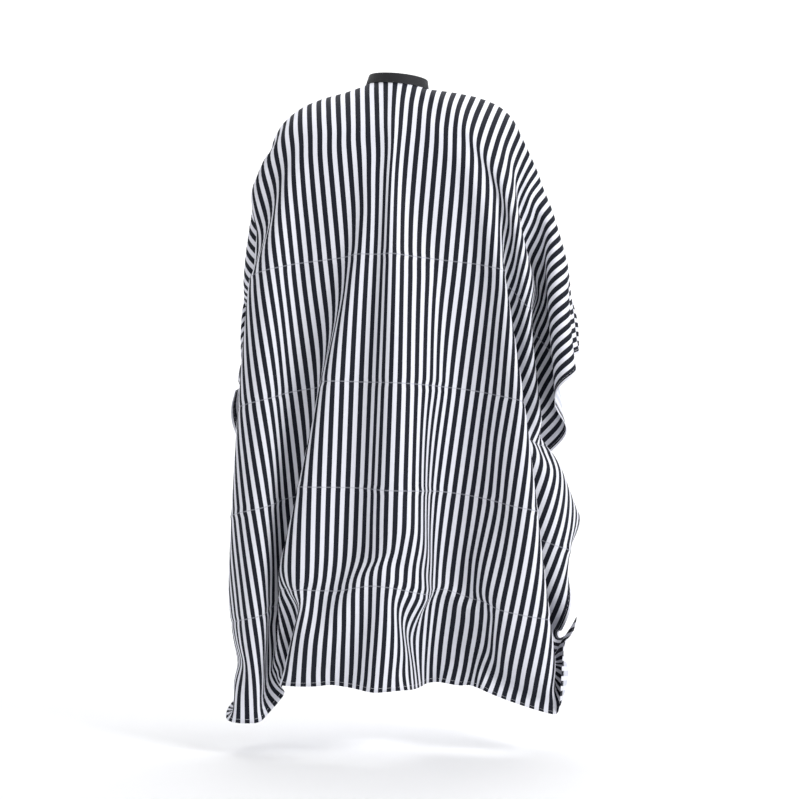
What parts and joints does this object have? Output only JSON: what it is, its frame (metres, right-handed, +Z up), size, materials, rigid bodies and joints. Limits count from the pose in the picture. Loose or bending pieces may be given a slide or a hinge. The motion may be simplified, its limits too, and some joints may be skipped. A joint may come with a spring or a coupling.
{
  "type": "barber cape",
  "caption": "Hemmed striped cape with a neck hole, a back slit and a black neckband that fastens behind with press snaps.",
  "frame": {"origin": "middle of the neckband's ring, where the cape is held up by a neck", "axes": "+Z up along the wearer's neck, -Y the way the wearer faces, +X the wearer's left"},
  "size_m": [0.6899, 0.3769, 1.265],
  "materials": {
    "cape_fabric": "thin plain-weave polyester, white with navy-charcoal stripes",
    "band_fabric": "black close-woven band, low sheen",
    "interfacing": "stiff uncoloured woven interlining",
    "snap_metal": "black-nickel plated, satin"
  },
  "bodies": {
    "cape": {"cape_cloth": "cape_fabric", "neckband_outer": "band_fabric", "neckband_interfacing": "interfacing", "neckband_lining": "band_fabric", "snap_stud_1": "snap_metal", "snap_stud_2": "snap_metal", "snap_stud_3": "snap_metal", "snap_stud_4": "snap_metal", "snap_stud_5": "snap_metal", "snap_post_1": "snap_metal", "snap_post_2": "snap_metal", "snap_post_3": "snap_metal", "snap_post_4": "snap_metal", "snap_post_5": "snap_metal"},
    "closure_tab": {"tab_outer": "band_fabric", "tab_interfacing": "interfacing", "tab_lining": "band_fabric", "snap_cap_1": "snap_metal", "snap_cap_2": "snap_metal", "snap_socket_1": "snap_metal", "snap_socket_2": "snap_metal"}
  },
  "joints": [
    {"name": "tab_open", "type": "hinge", "parent": "cape", "child": "closure_tab", "pos_m": [0.02936, 0.0489, -0.00283], "axis": [-0.0958, 0, -0.9954], "range_deg": [0, 110]}
  ]
}
